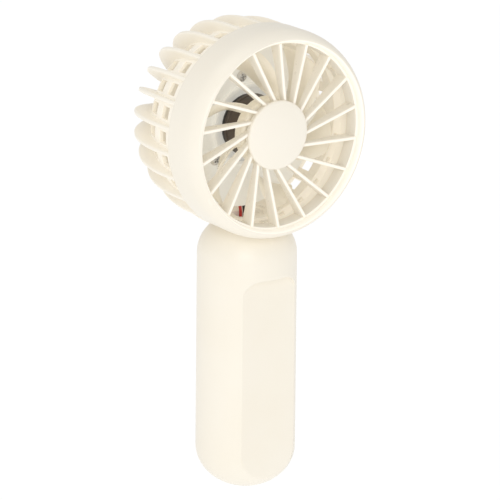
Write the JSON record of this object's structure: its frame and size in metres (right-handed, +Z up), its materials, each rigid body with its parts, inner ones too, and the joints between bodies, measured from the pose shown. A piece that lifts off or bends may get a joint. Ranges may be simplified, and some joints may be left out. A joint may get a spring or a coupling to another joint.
{
  "type": "handheld electric fan",
  "caption": "Handheld electric fan with a round finned head, a swirl grille and a spinning impeller on a capsule handle with a flat facet.",
  "frame": {"origin": "middle of the small flat at the bottom of the handle, on the handle's axis", "axes": "+Z up the handle, the air leaves the grille towards -Y, and the rear cover and button face +Y"},
  "size_m": [0.0851, 0.0613, 0.1918],
  "materials": {
    "shell": "cream moulded shell, fine satin grain",
    "grille": "cream moulded grille, satin",
    "caps": "cream, smooth semi-gloss",
    "handle": "cream moulded handle, soft satin",
    "impeller": "warm cream moulded impeller, satin",
    "plate": "pale grey moulded plate, matt",
    "black_plastic": "black, matt",
    "black_steel": "black coated steel bell",
    "steel": "bright steel",
    "core_steel": "stacked lamination steel",
    "ferrite": "dark sintered ferrite",
    "copper": "enamelled copper winding",
    "board": "green solder mask on laminate",
    "cell_wrap": "blue shrink wrap over a steel can",
    "nickel": "nickel strip",
    "lens": "clear light guide",
    "nylon": "white nylon",
    "red_pvc": "red wire insulation",
    "black_pvc": "black wire insulation",
    "foam": "grey foam washer"
  },
  "bodies": {
    "handle": {"head_shell": "shell", "front_grille": "grille", "hub_cap": "caps", "rear_cap": "caps", "bearing_front": "steel", "bearing_rear": "steel", "motor_base": "black_plastic", "stator_core": "core_steel", "stator_coil_1": "copper", "stator_coil_2": "copper", "stator_coil_3": "copper", "stator_coil_4": "copper", "stator_coil_5": "copper", "stator_coil_6": "copper", "driver_board": "board", "motor_plate": "plate", "plate_screw_1": "steel", "plate_screw_2": "steel", "plate_screw_3": "steel", "handle_body": "handle", "rear_cover": "handle", "indicator_lens": "lens", "neck_nut": "nylon", "neck_washer": "foam", "battery_cell": "cell_wrap", "nickel_strip_top": "nickel", "nickel_strip_bottom": "nickel", "battery_cradle": "nylon", "circuit_board": "board", "board_screw_1": "steel", "board_screw_2": "steel", "board_screw_3": "steel", "board_screw_4": "steel", "tactile_switch": "black_plastic", "usb_shell": "steel", "usb_tongue": "black_plastic", "charge_chip": "black_plastic", "power_inductor": "ferrite", "motor_connector": "nylon", "indicator_led": "lens", "motor_lead_red": "red_pvc", "motor_lead_black": "black_pvc", "battery_lead_red": "red_pvc", "battery_lead_black": "black_pvc"},
    "rotor": {"impeller": "impeller", "rotor_bell": "black_steel", "magnet_ring": "ferrite", "motor_shaft": "steel"},
    "button": {"power_button": "caps", "switch_plunger": "nylon"}
  },
  "joints": [
    {"name": "impeller_spin", "type": "hinge", "parent": "handle", "child": "rotor", "pos_m": [0, -0.0101, 0.1492], "axis": [0, 1, 0], "continuous": true},
    {"name": "button_press", "type": "slide", "parent": "handle", "child": "button", "axis": [0, -1, 0], "range_m": [0, 0.0005], "stiffness_N_per_m": 400}
  ]
}
